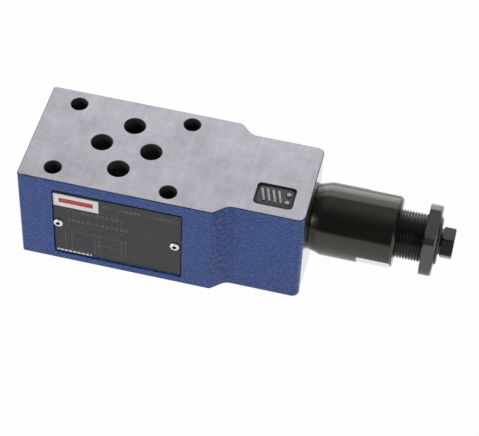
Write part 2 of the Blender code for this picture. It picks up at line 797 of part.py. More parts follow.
def make_lock_nut(parts, cutters, axis):
    """A thin hexagon nut whose corners are turned off, with chamfered faces."""
    high = SLEEVE_END - NUT_FROM_SLEEVE_END
    low = high - NUT_THICKNESS
    hole = SLEEVE_THREAD_DIAMETER / 2 + THREAD_GAP
    edge = NUT_DIAMETER / 2
    flat = NUT_FLATS / 2
    outline = [
        (flat, high),
        (edge, high - NUT_CHAMFER),
        (edge, low + NUT_CHAMFER),
        (flat, low),
        (hole + NUT_CHAMFER, low),
        (hole, low + NUT_CHAMFER),
        (hole, high - NUT_CHAMFER),
        (hole + NUT_CHAMFER, high),
    ]
    nut = turned("lock_nut", outline, parts, OUTER_STEPS, ring=True)
    nut.parent = axis
    flats = hexagon(
        "trim_lock_nut", NUT_FLATS, low - CUT_PAST, high + CUT_PAST, NUT_HEX_ANGLE, cutters
    )
    flats.parent = axis
    boolean(nut, flats, "INTERSECT")
    return nut


def make_bonnet_seal_ring(parts, axis):
    hole = BONNET_THREAD_DIAMETER / 2 + THREAD_GAP
    ring = torus("bonnet_seal_ring", 2 * (hole - SEAL_GAP) - BONNET_SEAL_CORD, BONNET_SEAL_CORD, parts)
    ring.parent = axis
    ring.location = (0.0, 0.0, HOLE_FLOOR + SEAL_GAP + BONNET_SEAL_CORD / 2)
    return ring


def make_port_seal_rings(parts):
    rings = []
    for port, (x, y) in port_places().items():
        mean = SEAL_RECESS_DIAMETER - 2 * SEAL_GAP - SEAL_CORD
        ring = torus(f"port_seal_ring_{port}", mean, SEAL_CORD, parts)
        ring.location = (x, y, SEAL_RECESS_DEPTH - SEAL_GAP - SEAL_CORD / 2)
        rings.append(ring)
    return rings


def make_gauge_plug(parts, cutters, axis):
    """The screw plug of the gauge connection, sunk in the left end, with a hexagon socket."""
    collar = GAUGE_FACE_DIAMETER / 2 - SEAT_GAP
    shank = GAUGE_HOLE_DIAMETER / 2 - THREAD_GAP
    top = LEFT_END + SEAT_GAP
    collar_end = top + GAUGE_COLLAR_THICKNESS
    tip = top + GAUGE_PLUG_LENGTH
    outline = [
        (0.0, tip),
        (shank - MOUTH_CHAMFER, tip),
        (shank, tip - MOUTH_CHAMFER),
        (shank, collar_end),
        (collar, collar_end),
        (collar, top + SEAT_GAP),
        (collar - SEAT_GAP, top),
        (0.0, top),
    ]
    plug = turned("gauge_plug", outline, parts)
    plug.parent = axis
    socket = hexagon(
        "cut_gauge_socket",
        GAUGE_SOCKET_FLATS,
        top - CUT_PAST,
        top + GAUGE_SOCKET_DEPTH,
        0.0,
        cutters,
    )
    socket.parent = axis
    boolean(plug, socket)
    return plug


def make_gauge_plug_seal(parts, axis):
    outer = GAUGE_FACE_DIAMETER / 2 - SEAT_GAP
    inner = GAUGE_HOLE_DIAMETER / 2
    high = LEFT_END + GAUGE_FACE_DEPTH - SEAT_GAP
    low = high - GAUGE_SEAL_THICKNESS
    outline = [(outer, high), (outer, low), (inner, low), (inner, high)]
    seal = turned("gauge_plug_seal", outline, parts, PORT_STEPS, ring=True)
    seal.parent = axis
    return seal


def spool_land(low, high, radius):
    """The outline of a land, from its high end down, with two narrow relief grooves."""
    groove = SPOOL_RELIEF_GROOVE
    points = [(radius, high)]
    for share in (0.65, 0.35):
        centre = low + (high - low) * share
        points += [
            (radius, centre + groove / 2),
            (radius - groove, centre + groove / 2),
            (radius - groove, centre - groove / 2),
            (radius, centre - groove / 2),
        ]
    return points + [(radius, low)]


def make_control_spool(parts, cutters, axis):
    """The spool: sensing land, throttling groove between inlet and outlet, tank land and nose."""
    land = SPOOL_BORE_DIAMETER / 2 - SPOOL_GAP
    stem = SPOOL_STEM_DIAMETER / 2
    stop = SPOOL_STOP_DIAMETER / 2
    sensing = SENSING_HOLE_DIAMETER / 2
    thread = ORIFICE_THREAD_DIAMETER / 2
    sensing_land_end = INLET_CHAMBER + CHAMBER_WIDTH / 2 - SPOOL_INLET_OPENING
    tank_land_start = CHAMBER_FLOOR - SPOOL_TANK_LAP
    orifice_end = SPOOL_START + ORIFICE_LENGTH + 2 * SEAT_GAP
    outline = [
        (0.0, SPOOL_NOSE_END),
        (stem - SEAT_GAP, SPOOL_NOSE_END),
        (stem, SPOOL_NOSE_END - SEAT_GAP),
        (stem, SPOOL_LAND_END),
    ]
    outline += spool_land(tank_land_start, SPOOL_LAND_END, land)
    outline += [(stem, tank_land_start), (stem, sensing_land_end)]
    outline += spool_land(SPOOL_START + SPOOL_STOP_LENGTH, sensing_land_end, land)
    outline += [
        (stop, SPOOL_START + SPOOL_STOP_LENGTH),
        (stop, SPOOL_START),
        (thread + SEAL_GAP, SPOOL_START),
        (thread + SEAL_GAP, orifice_end),
        (sensing, orifice_end),
        (sensing, OUTLET_CHAMBER),
        (0.0, OUTLET_CHAMBER + sensing / 2),
    ]
    spool = turned("control_spool", outline, parts, INNER_STEPS)
    spool.parent = axis
    cross = cylinder(
        "cut_cross_hole", CROSS_HOLE_DIAMETER, -stem - CUT_PAST, stem + CUT_PAST, cutters, 16
    )
    cross.parent = axis
    cross.location = (0.0, 0.0, OUTLET_CHAMBER - CHAMBER_WIDTH / 4)
    cross.rotation_euler = (math.pi / 2, 0.0, 0.0)
    boolean(spool, cross)
    return spool


def make_damping_orifice(parts, cutters, axis):
    """A slotted orifice screw in the spool's sensing end."""
    outer = ORIFICE_THREAD_DIAMETER / 2
    inner = ORIFICE_DIAMETER / 2
    low = SPOOL_START + SEAT_GAP
    high = low + ORIFICE_LENGTH
    outline = [(outer, high), (outer, low), (inner, low), (inner, high)]
    orifice = turned("damping_orifice", outline, parts, SMALL_STEPS, ring=True)
    orifice.parent = axis
    slot = rounded_box("cut_orifice_slot", (ORIFICE_SLOT, outer * 3, ORIFICE_SLOT * 4), 0.0, cutters)
    slot.parent = axis
    slot.location = (0.0, 0.0, low - ORIFICE_SLOT)
    boolean(orifice, slot)
    return orifice


def make_spring_seat(parts, axis):
    """The cup on the spool's nose that carries and centres the spring."""
    flange = SPRING_SEAT_DIAMETER / 2
    guide = SPRING_GUIDE_DIAMETER / 2
    socket = SPOOL_STEM_DIAMETER / 2 + SEAT_GAP
    guide_end = SEAT_FACE + SEAT_GUIDE_LENGTH
    outline = [
        (0.0, guide_end),
        (guide - SEAT_GAP, guide_end),
        (guide, guide_end - SEAT_GAP),
        (guide, SEAT_FACE),
        (flange, SEAT_FACE),
        (flange, SEAT_START + MOUTH_CHAMFER),
        (flange - MOUTH_CHAMFER, SEAT_START),
        (socket, SEAT_START),
        (socket, SPOOL_NOSE_END + SEAT_GAP),
        (0.0, SPOOL_NOSE_END + SEAT_GAP),
    ]
    seat = turned("spring_seat", outline, parts, INNER_STEPS)
    seat.parent = axis
    return seat


def make_control_spring(parts, cutters, axis):
    """A coil spring with closed ends that are ground flat."""
    low = SEAT_FACE + SEAT_GAP
    high = PLATE_FLANGE_FACE - SEAT_GAP
    closed_pitch = SPRING_WIRE * 1.04
    start = low + SPRING_WIRE / 4
    rise = high - low - SPRING_WIRE / 2
    open_pitch = (rise - 2 * closed_pitch) / (SPRING_TURNS - 2)
    points = []
    for i in range(round(SPRING_TURNS * SPRING_POINTS_PER_TURN) + 1):
        turn = i / SPRING_POINTS_PER_TURN
        first = min(turn, 1.0)
        last = max(turn - (SPRING_TURNS - 1), 0.0)
        along = start + closed_pitch * (first + last) + open_pitch * (turn - first - last)
        radius = SPRING_MEAN_DIAMETER / 2
        points.append(
            (radius * math.cos(math.tau * turn), radius * math.sin(math.tau * turn), along)
        )
    spring = tube_along("control_spring", points, SPRING_WIRE, parts)
    spring.parent = axis
    span = cylinder("trim_spring_ends", SPRING_MEAN_DIAMETER * 2, low, high, cutters)
    span.parent = axis
    boolean(spring, span, "INTERSECT")
    return spring


def make_spring_plate(parts, axis):
    """The plate between spring and sleeve, centred in the spring and by its stem in the sleeve."""
    flange = SPRING_SEAT_DIAMETER / 2
    guide = SPRING_GUIDE_DIAMETER / 2
    stem = SLEEVE_BORE / 2 - SEAT_GAP
    flange_end = PLATE_FLANGE_FACE + PLATE_FLANGE_THICKNESS
    stem_end = flange_end + PLATE_STEM_LENGTH
    guide_start = PLATE_FLANGE_FACE - PLATE_GUIDE_LENGTH
    outline = [
        (0.0, stem_end),
        (stem - MOUTH_CHAMFER, stem_end),
        (stem, stem_end - MOUTH_CHAMFER),
        (stem, flange_end),
        (flange, flange_end),
        (flange, PLATE_FLANGE_FACE),
        (guide, PLATE_FLANGE_FACE),
        (guide, guide_start + SEAT_GAP),
        (guide - SEAT_GAP, guide_start),
        (0.0, guide_start),
    ]
    plate = turned("spring_plate", outline, parts, INNER_STEPS)
    plate.parent = axis
    return plate


def make_valve_axis(parts):
    """An empty whose local Z runs along the valve axis and whose local X is the row's +Y."""
    axis = bpy.data.objects.new("valve_axis", None)
    parts.objects.link(axis)
    axis.location = (0.0, AXIS_Y, AXIS_Z)
    axis.rotation_euler = (math.pi / 2, 0.0, math.pi / 2)
    bpy.context.view_layer.update()
    return axis


def main():
    clear_scene()
    parts = new_collection("sandwich_valve")
    cutters = new_collection("cutters")
    housing_cutters = bpy.data.collections.new("housing_cutters")
    cutters.children.link(housing_cutters)
    axis = make_valve_axis(parts)

    blue_paint = material("blue_paint", (0.06, 0.10, 0.30), 0.45, 0.0)
    black_steel = material("black_steel", (0.02, 0.02, 0.02), 0.30, 0.8)
    bright_steel = material("bright_steel", (0.62, 0.62, 0.62), 0.28, 1.0)
    plate_grey = material("plate_grey", (0.07, 0.07, 0.075), 0.5, 0.3)
    black_rubber = material("black_rubber", (0.015, 0.015, 0.015), 0.7, 0.0)
    brass = material("brass", (0.60, 0.42, 0.15), 0.35, 1.0)

    finishes = {
        blue_paint: [make_housing(parts, housing_cutters, axis)],
        plate_grey: [make_name_plate(parts, cutters)],
        black_steel: [
            make_bonnet(parts, cutters, axis),
            make_adjusting_sleeve(parts, cutters, axis),
            make_lock_nut(parts, cutters, axis),
            make_gauge_plug(parts, cutters, axis),
        ],
        bright_steel: make_rivets(parts)
        + [
            make_control_spool(parts, cutters, axis),
            make_spring_seat(parts, axis),
            make_control_spring(parts, cutters, axis),
            make_spring_plate(parts, axis),
            make_retaining_ring(parts, cutters, axis),
        ],
        brass: [make_damping_orifice(parts, cutters, axis)],
        black_rubber: make_port_seal_rings(parts)
        + [
            make_bonnet_seal_ring(parts, axis),
            make_sleeve_seal_ring(parts, axis),
            make_gauge_plug_seal(parts, axis),
        ],
    }
    for finish, pieces in finishes.items():
        for piece in pieces:
            piece.data.materials.clear()
            piece.data.materials.append(finish)
    for cutter in cutters.all_objects:
        cutter.hide_render = True
        cutter.display_type = "WIRE"
    bpy.context.view_layer.update()


main()
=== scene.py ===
"""Looks of the sandwich valve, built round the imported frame. Names in capitals, profiles and the
corners of blocks are in millimetres, and MM turns them into metres. AXIS and LEFT_RIVET are places
in metres."""

import math

import bpy
from mathutils import Matrix, Vector


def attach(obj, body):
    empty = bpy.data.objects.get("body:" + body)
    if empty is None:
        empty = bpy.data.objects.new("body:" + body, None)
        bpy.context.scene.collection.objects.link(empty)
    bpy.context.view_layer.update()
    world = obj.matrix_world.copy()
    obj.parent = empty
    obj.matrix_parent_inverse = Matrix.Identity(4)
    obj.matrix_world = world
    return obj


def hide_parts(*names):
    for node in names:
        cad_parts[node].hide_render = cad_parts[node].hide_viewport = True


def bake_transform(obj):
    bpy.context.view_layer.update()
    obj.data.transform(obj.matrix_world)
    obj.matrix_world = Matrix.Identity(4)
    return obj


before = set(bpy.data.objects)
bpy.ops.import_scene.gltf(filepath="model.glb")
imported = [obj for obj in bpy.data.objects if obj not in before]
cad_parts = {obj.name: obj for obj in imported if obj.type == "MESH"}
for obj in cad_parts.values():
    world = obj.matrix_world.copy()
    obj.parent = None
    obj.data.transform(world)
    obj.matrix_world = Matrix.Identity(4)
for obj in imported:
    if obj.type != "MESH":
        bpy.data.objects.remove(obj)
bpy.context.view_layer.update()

MM = 0.001

# Body: its ends, its top, its two half widths, the two ends of the slope between them, and how far
# its edges are rounded
LEFT_END, RIGHT_END, TOP = -32.5, 66.0, 40.0
WIDE, NARROW = 21.5, 17.2
WIDE_END, NARROW_START = 35.5, 40.2
EDGE = 0.28

# Holes: centres, diameters, the lead at their mouths and how far a tool stands out of the body
PORTS = {"a": (-8.8, 0.0), "b": (8.7, 0.0), "t": (0.0, -10.4), "p": (0.0, 10.4)}
BOLTS = [(x, side * y) for x, y in ((-21.5, 15.5), (19.0, 16.25)) for side in (-1, 1)]
PORT_HOLE, BOLT_HOLE = 7.5, 6.0
LEAD, BEYOND = 0.15, 2.0

# Recess in the upper face: left, near, right and far side
MARK = (47.2, -13.3, 60.8, -3.5)

# Valve axis, parallel to X, and what has flats round it
AXIS = Vector((0.0, 3.8 * MM, 20.0 * MM))
BONNET_FLATS, BONNET_ANGLE = 24.0, math.radians(31.3)
NUT_FLATS, NUT_ANGLE = 24.0, math.radians(15.4)
HEXAGON_FLATS, HEXAGON_ANGLE = 10.0, math.radians(2.3)
SOCKET_FLATS, SOCKET_ANGLE = 6.0, math.radians(10)

# Name plate: the floor of its recess, its face and its rivets
PLATE_SEAT, PLATE_FACE = -20.3, -21.0
LEFT_RIVET = Vector((-18.7, -21.2, 18.5)) * MM
RIVET_SPACING = 41.45

# How a profile stands that is not along the valve axis
UPRIGHT = {"along": (0, 0, 1), "out": (0, 1, 0)}
INWARDS = {"along": (0, 1, 0), "out": (0, 0, 1)}

ROUND_STEPS = 96
SHARP_ANGLE = math.radians(30)

# Places that lie closer, in metres, are one
SAME = 1e-6


# Modelling by hand, in code


def let_go():
    """Nothing is selected, and the active object is out of edit mode."""
    if bpy.context.object and bpy.context.object.mode != "OBJECT":
        leave_edit()
    bpy.ops.object.select_all(action="DESELECT")


def leave_edit():
    bpy.ops.object.mode_set(mode="OBJECT")


def take(piece):
    let_go()
    piece.select_set(True)
    bpy.context.view_layer.objects.active = piece


def edit(piece):
    take(piece)
    bpy.ops.object.mode_set(mode="EDIT")
    bpy.ops.mesh.select_mode(type="VERT")
    bpy.ops.mesh.select_all(action="DESELECT")


def pick(piece, mode, kind, wanted):
    """Selects the parts of a mesh that pass their test, with the piece in edit mode."""
    bpy.ops.mesh.select_mode(type=mode)
    bpy.ops.mesh.select_all(action="DESELECT")
    leave_edit()
    for element in getattr(piece.data, kind):
        element.select = bool(wanted(element))
    bpy.ops.object.mode_set(mode="EDIT")


def pick_faces(piece, wanted):
    pick(piece, "FACE", "polygons", wanted)


def pick_edges(piece, wanted):
    """The test gets the places of an edge's two ends."""

    def passes(edge):
        return wanted(*(piece.data.vertices[corner].co for corner in edge.vertices))

    pick(piece, "EDGE", "edges", passes)


def apply_place(piece):
    """Lays the piece's place into its mesh."""
    take(piece)
    bpy.ops.object.transform_apply(location=True, rotation=True, scale=True)


def finish_shape(piece, name):
    """Welds the mesh, turns its faces outwards and lays its place into the mesh."""
    edit(piece)
    bpy.ops.mesh.select_all(action="SELECT")
    bpy.ops.mesh.remove_doubles(threshold=SAME)
    bpy.ops.mesh.normals_make_consistent(inside=False)
    leave_edit()
    apply_place(piece)
    piece.name = piece.data.name = name
    return piece


def smooth(piece, angle=SHARP_ANGLE):
    take(piece)
    bpy.ops.object.shade_smooth_by_angle(angle=angle)


def apply_modifier(piece, kind, **settings):
    take(piece)
    modifier = piece.modifiers.new(kind.title(), kind)
    for key, value in settings.items():
        setattr(modifier, key, value)
    bpy.ops.object.modifier_apply(modifier=modifier.name)


def cut(piece, tool, operation="DIFFERENCE"):
    """A boolean with a tool that is thrown away afterwards."""
    apply_modifier(piece, "BOOLEAN", operation=operation, solver="MANIFOLD", object=tool)
    throw_away(tool)


def throw_away(piece):
    bpy.data.objects.remove(piece, do_unlink=True)


def ease_edges(piece, width):
    """Small rounded edges, with flat faces that stay flat in their shading."""
    apply_modifier(
        piece, "BEVEL", width=width * MM, segments=2, limit_method="ANGLE",
        angle_limit=SHARP_ANGLE, use_clamp_overlap=True, miter_outer="MITER_ARC",
    )
    smooth(piece, math.radians(50))
    apply_modifier(piece, "WEIGHTED_NORMAL", keep_sharp=True, weight=80)


def draw_line(places):
    """A new object with one line through the places, in edit mode."""
    let_go()
    bpy.ops.mesh.primitive_plane_add(size=MM, enter_editmode=True, location=(0, 0, 0))
    bpy.ops.mesh.select_mode(type="VERT")
    bpy.ops.mesh.select_all(action="SELECT")
    bpy.ops.mesh.merge(type="CENTER")
    bpy.ops.transform.translate(value=places[0])
    for before, after in zip(places, places[1:]):
        bpy.ops.mesh.extrude_region_move(TRANSFORM_OT_translate={"value": after - before})
    return bpy.context.object


def turn(name, profile, centre=AXIS, along=(1, 0, 0), out=(0, 0, 1), steps=ROUND_STEPS):
    """Draws a profile of (place along, radius) and spins it round its axis."""
    along, out = Vector(along), Vector(out)
    draw_line([
        Vector(centre) + along * (reach * MM) + out * (radius * MM) for reach, radius in profile
    ])
    bpy.ops.mesh.select_all(action="SELECT")
    bpy.ops.mesh.spin(steps=steps, angle=math.tau, center=Vector(centre), axis=along)
    return finish_shape(bpy.context.object, name)


def block(name, low, high):
    """A box between two corners."""
    low, high = Vector(low) * MM, Vector(high) * MM
    let_go()
    bpy.ops.mesh.primitive_cube_add(size=1, location=(low + high) / 2, scale=high - low)
    piece = bpy.context.object
    apply_place(piece)
    piece.name = piece.data.name = name
    return piece


def round_edges_along(piece, axis, radius, segments=6, at_x=None):
    """Rounds the edges of a piece that run along one axis, or only those near one X."""

    def runs_along(start, end):
        way = end - start
        there = at_x is None or abs((start + end).x / 2 / MM - at_x) < 0.3
        return there and abs(way[axis]) > 0.9 * way.length

    edit(piece)
    pick_edges(piece, runs_along)
    bpy.ops.mesh.bevel(offset=radius * MM, segments=segments, affect="EDGES")
    leave_edit()


def hexagon_bar(low, high, flats, angle):
    """A six-sided bar along the valve axis, with a corner at the angle from +Y towards +Z."""
    let_go()
    bpy.ops.mesh.primitive_cylinder_add(
        vertices=6, radius=flats / math.sqrt(3) * MM, depth=(high - low) * MM, end_fill_type="NGON"
    )
    bar = bpy.context.object
    centre = Matrix.Translation(AXIS + Vector(((low + high) / 2 * MM, 0, 0)))
    # A cylinder's first corner lies on its +Y. Turned on to X, its local Y stays world Y.
    on_to_x = Matrix.Rotation(math.pi / 2, 4, "Y")
    bar.matrix_world = centre @ Matrix.Rotation(angle, 4, "X") @ on_to_x
    apply_place(bar)
    return bar


def copy_piece(piece, name, move=(0, 0, 0)):
    copied = piece.copy()
    copied.data = piece.data.copy()
    copied.name = copied.data.name = name
    bpy.context.scene.collection.objects.link(copied)
    copied.location = [step * MM for step in move]
    apply_place(copied)
    return copied


# Materials


class Value:
    """A socket, with arithmetic that adds Math nodes."""

    def __init__(self, mixed, socket):
        self.mixed, self.socket = mixed, socket

    def __add__(self, other):
        return self.mixed.maths("ADD", self, other)

    def __sub__(self, other):
        return self.mixed.maths("SUBTRACT", self, other)

    def __rsub__(self, other):
        return self.mixed.maths("SUBTRACT", other, self)

    def __mul__(self, other):
        return self.mixed.maths("MULTIPLY", self, other)

    def __pow__(self, other):
        return self.mixed.maths("POWER", self, other)

    def __rpow__(self, other):
        return self.mixed.maths("POWER", other, self)

    def __lt__(self, other):
        return self.mixed.maths("LESS_THAN", self, other)

    def __gt__(self, other):
        """Python's reflected form of <."""
        return self.mixed.maths("GREATER_THAN", self, other)

    def __abs__(self):
        return self.mixed.maths("ABSOLUTE", self)

    __radd__ = __add__
    __rmul__ = __mul__

    def fraction(self):
        return self.mixed.maths("FRACT", self)

    def clamped(self):
        return self.mixed.maths("ADD", self, 0.0, clamp=True)

    def spread(self, low, high, to_low=0.0, to_high=1.0):
        """Maps low..high to to_low..to_high, held at the ends."""
        return self.mixed.node(
            "ShaderNodeMapRange",
            {"clamp": True},
            {"Value": self, "From Min": low, "From Max": high, "To Min": to_low, "To Max": to_high},
        )


class Finish:
    """The nodes of a material or of the world, in the making."""

    SOCKET_NAMES = {"ior": "IOR"}
    COLOUR_SOCKETS = ("base_color", "specular_tint")
    # A Mix node's share, its two colours among its inputs, and its colour among its outputs
    MIX_INPUTS, MIX_OUTPUT = (0, 6, 7), 2

    def __init__(self, owner, coordinates="Object"):
        owner.use_nodes = True
        self.owner, self.tree = owner, owner.node_tree
        self.tree.nodes.clear()
        self.place = self.node("ShaderNodeTexCoord", out=coordinates)

    def node(self, kind, settings=None, sockets=None, out=0):
        """Adds a node: its settings first, then the values or links of its sockets."""
        made = self.tree.nodes.new(kind)
        for key, setting in (settings or {}).items():
            setattr(made, key, setting)
        for key, given in (sockets or {}).items():
            if isinstance(given, Value):
                self.tree.links.new(given.socket, made.inputs[key])
            else:
                made.inputs[key].default_value = given
        return Value(self, made.outputs[out]) if made.outputs else None

    def outputs(self, value, *names):
        """Other outputs of the node that a value comes from."""
        return [Value(self, value.socket.node.outputs[name]) for name in names]

    def maths(self, operation, *numbers, clamp=False):
        return self.node(
            "ShaderNodeMath", {"operation": operation, "use_clamp": clamp}, dict(enumerate(numbers))
        )

    def noise(self, size, detail=2.0, roughness=0.5, place=None):
        """Noise whose lumps are about size millimetres."""
        return self.node(
            "ShaderNodeTexNoise",
            sockets={
                "Vector": place or self.place, "Scale": 1 / (size * MM), "Detail": detail,
                "Roughness": roughness,
            },
            out="Fac",
        )

    def stretched(self, x, y, z):
        return self.node(
            "ShaderNodeVectorMath", {"operation": "MULTIPLY"}, {0: self.place, 1: (x, y, z)}
        )

    def parts(self):
        split = self.node("ShaderNodeSeparateXYZ", sockets={"Vector": self.place})
        return self.outputs(split, "X", "Y", "Z")

    def blend(self, share, first, second):
        """Mixes two colours."""
        given = (share, as_colour(first), as_colour(second))
        return self.node(
            "ShaderNodeMix", {"data_type": "RGBA"}, dict(zip(self.MIX_INPUTS, given)),
            self.MIX_OUTPUT,
        )

    def bump(self, height, distance):
        """Bump from a height of 0 to 1 that stands for the distance in millimetres."""
        return self.node(
            "ShaderNodeBump",
            sockets={"Height": height, "Distance": distance * MM, "Strength": 1.0},
        )

    def done(self, **given):
        """Closes the material with a Principled shader. Names use _ for a space."""
        sockets = {}
        for key, value in given.items():
            name = self.SOCKET_NAMES.get(key, key.replace("_", " ").title())
            sockets[name] = as_colour(value) if key in self.COLOUR_SOCKETS else value
        shader = self.node("ShaderNodeBsdfPrincipled", sockets=sockets)
        self.node("ShaderNodeOutputMaterial", sockets={"Surface": shader})
        return self.owner


def as_colour(given):
    return given if isinstance(given, Value) else (*given, 1.0)


def new_finish(name):
    return Finish(bpy.data.materials.new(name))


def paint_on_cast_iron():
    """Mid-blue paint over a wrinkled casting."""
    mixed = new_finish("blue_paint_on_cast_iron")
    skin = mixed.noise(1.4, place=mixed.stretched(0.5, 0.5, 1.0))
    wrinkles = (1.0 - abs(skin - 0.5) * 13.0).clamped()
    lumps = mixed.noise(5.0)
    peel = mixed.noise(0.4)
    height = wrinkles * 0.6 + peel * 0.04 + lumps * 0.3
    # The wrinkle lines are coloured lighter, a painted highlight on their crests. The lumps and the
    # peel add random tone.
    tone_and_painted_highlight = (wrinkles * 0.8 + (lumps + peel) * 0.22).clamped()
    colour = mixed.blend(tone_and_painted_highlight, (0.012, 0.057, 0.290), (0.021, 0.102, 0.415))
    return mixed.done(
        base_color=colour,
        roughness=0.30 + 0.14 * lumps,
        coat_weight=0.12,
        coat_roughness=0.2,
        normal=mixed.bump(height, 0.75),
    )


def painted_shade_at_the_ground_edge():
    """The dark band on the rounded edge where the ground face meets the paint: painted shade along
    the edge.
    """
    mixed = new_finish("ground_edge_painted_shade")
    chips = mixed.noise(0.9, 3.0, 0.6)
    colour = mixed.blend(chips.spread(0.45, 0.75), (0.006, 0.014, 0.06), (0.05, 0.07, 0.17))
    return mixed.done(
        base_color=colour, roughness=0.4 + 0.2 * chips, normal=mixed.bump(chips, 0.05)
    )


def ground_iron():
    """The bare ground face: fine grinding marks, smudges, scratches, and where a pass ended."""
    mixed = new_finish("ground_iron")
    marks = mixed.noise(0.22, 3.0, 0.6, mixed.stretched(0.02, 1.0, 1.0))
    smudge = mixed.noise(9.0, 5.0, 0.65)
    streak = mixed.noise(1.2, 3.0, 0.6, mixed.stretched(1.0, 0.12, 1.0))
    grain = mixed.noise(0.5)
    pits = mixed.noise(0.8).spread(0.66, 0.74)
    scratches = mixed.noise(0.45, place=mixed.stretched(0.05, 1.0, 1.0)).spread(0.64, 0.72)
    x, _, _ = mixed.parts()
    pass_end = (abs(x - 43.0 * MM) < 0.2 * MM) * streak.spread(0.35, 0.6)
    tone = smudge.spread(0.33, 0.68) * 0.5 + marks * 0.3 + streak.spread(0.3, 0.7) * 0.2
    dirt = pits * 0.6 + pass_end * 0.25 + scratches * 0.3
    colour = mixed.blend(tone.clamped(), (0.358, 0.348, 0.392), (0.640, 0.628, 0.682))
    return mixed.done(
        base_color=mixed.blend(dirt.clamped(), colour, (0.15, 0.15, 0.16)),
        metallic=0.5,
        roughness=0.40 + 0.12 * smudge - 0.06 * grain,
        normal=mixed.bump(marks * 0.7 + grain * 0.3 - pits * 0.3, 0.012),
    )


def milled_iron():
    """The bright machined end face."""
    mixed = new_finish("milled_iron")
    rings = mixed.noise(0.3, place=mixed.stretched(1.0, 1.0, 0.05))
    return mixed.done(
        base_color=mixed.blend(rings, (0.62, 0.62, 0.63), (0.74, 0.74, 0.75)),
        metallic=1.0,
        roughness=0.16 + 0.1 * rings,
        normal=mixed.bump(rings, 0.0005),
    )


def hole_wall_painted_shade():
    """The walls of the holes, coloured dark as painted shade inside them."""
    mixed = new_finish("hole_wall_painted_shade")
    rings = mixed.noise(0.35, place=mixed.stretched(0.1, 0.1, 1.0))
    return mixed.done(
        base_color=mixed.blend(rings, (0.10, 0.10, 0.105), (0.20, 0.20, 0.21)),
        metallic=0.8,
        roughness=0.45 + 0.15 * rings,
        normal=mixed.bump(rings, 0.02),
    )


def cast_iron(name, dark, light, metallic):
    """Bare rough casting."""
    mixed = new_finish(name)
    rough = mixed.noise(0.5, 4.0, 0.65)
    return mixed.done(
        base_color=mixed.blend(rough.spread(0.32, 0.68), dark, light),
        metallic=metallic,
        roughness=0.55,
        normal=mixed.bump(rough, 0.12),
    )


def turned_steel(name, dark, light, metallic, roughness, ring=0.25, depth=0.006, tint=(1, 1, 1)):
    """Steel turned on a lathe: fine rings round the axis, and faint handling marks."""
    mixed = new_finish(name)
    rings = mixed.noise(ring, 2.0, 0.6, mixed.stretched(1.0, 0.03, 0.03))
    marks = mixed.noise(3.5, 4.0, 0.6)
    tone = (rings * 0.6 + marks.spread(0.3, 0.7) * 0.4).clamped()
    return mixed.done(
        base_color=mixed.blend(tone, dark, light),
        metallic=metallic,
        roughness=roughness + 0.14 * marks - 0.07 * rings,
        ior=1.6,
        specular_tint=tint,
        normal=mixed.bump(rings, depth),
    )


def rubber():
    mixed = new_finish("black_rubber")
    dust = mixed.noise(0.8, 4.0, 0.6)
    colour = mixed.blend(dust, (0.012, 0.012, 0.012), (0.03, 0.03, 0.03))
    return mixed.done(
        base_color=colour, roughness=0.5 + 0.2 * dust, normal=mixed.bump(dust, 0.02)
    )


def printed(places, left, right, low, high):
    """1 inside a rectangle of the plate, in millimetres."""
    x, z = places
    across = abs(x - (left + right) / 2 * MM) < (right - left) / 2 * MM
    return across * (abs(z - (low + high) / 2 * MM) < (high - low) / 2 * MM)


def dashes(places, left, right, low, high, step, share):
    """A row of plain dashes where the real plate is printed or stamped."""
    repeat = (places[0] * (1 / (step * MM))).fraction()
    return printed(places, left, right, low, high) * (repeat < share)


def faint_lines(places):
    """The plain ruled lines of a drawing."""
    half = 0.14
    upright = ((-16.4, 4.9, 14.9), (-14.1, 5.6, 15.3), (-5.9, 5.6, 14.6), (-4.1, 5.6, 15.3),
               (3.7, 5.6, 15.3), (5.2, 5.6, 15.3))
    level = ((15.2, -14.1, 5.2), (5.7, -16.4, 5.2), (10.4, -5.9, 3.7))
    lines = [printed(places, at - half, at + half, low, high) for at, low, high in upright]
    lines += [printed(places, left, right, at - half, at + half) for at, left, right in level]
    return sum(lines)


def faint_rows(places):
    """Rows of dashes: their sides, their step and how much of it is filled."""
    return sum(dashes(places, *row) for row in (
        (-2.9, 10.4, 30.4, 31.6, 1.35, 0.72),
        (12.6, 23.4, 30.4, 31.6, 1.35, 0.72),
        (-17.2, 4.6, 24.9, 26.2, 1.7, 0.6),
        (-15.9, 6.6, 20.3, 21.6, 1.7, 0.6),
    ))


def plate_print():
    """A dark printed sheet with a pale field, a plain bar, and faint ruled lines and dashes."""
    mixed = new_finish("printed_name_plate")
    fade = mixed.noise(4.0, 4.0, 0.6)
    grain = mixed.noise(0.3, place=mixed.stretched(0.05, 1.0, 1.0))
    speckle = mixed.noise(1.3, 3.0, 0.7).spread(0.38, 0.62)
    x, _, z = mixed.parts()
    places = (x, z)
    faint = faint_lines(places) * 0.75 + faint_rows(places) * 0.8 * fade.spread(0.35, 0.6)
    field = printed(places, -20.3, -4.15, 27.3, 33.2)
    bar = printed(places, -18.2, -6.1, 29.2, 31.4)
    strip = dashes(places, -19.7, -7.1, 3.75, 4.6, 1.55, 0.78)
    sheet = mixed.blend(fade * 0.4 + speckle * 0.6, (0.018, 0.020, 0.022), (0.049, 0.051, 0.055))
    sheet = mixed.blend(faint.clamped(), sheet, (0.125, 0.120, 0.115))
    pale = mixed.blend(fade, (0.93, 0.93, 0.93), (0.99, 0.99, 0.99))
    pale = mixed.blend(bar, pale, (0.60, 0.060, 0.070))
    colour = mixed.blend(field, sheet, pale)
    return mixed.done(
        base_color=mixed.blend(strip, colour, (0.82, 0.82, 0.82)),
        metallic=0.3 - 0.3 * field,
        roughness=0.36 + 0.14 * fade + 0.08 * field,
        normal=mixed.bump(grain, 0.006),
    )


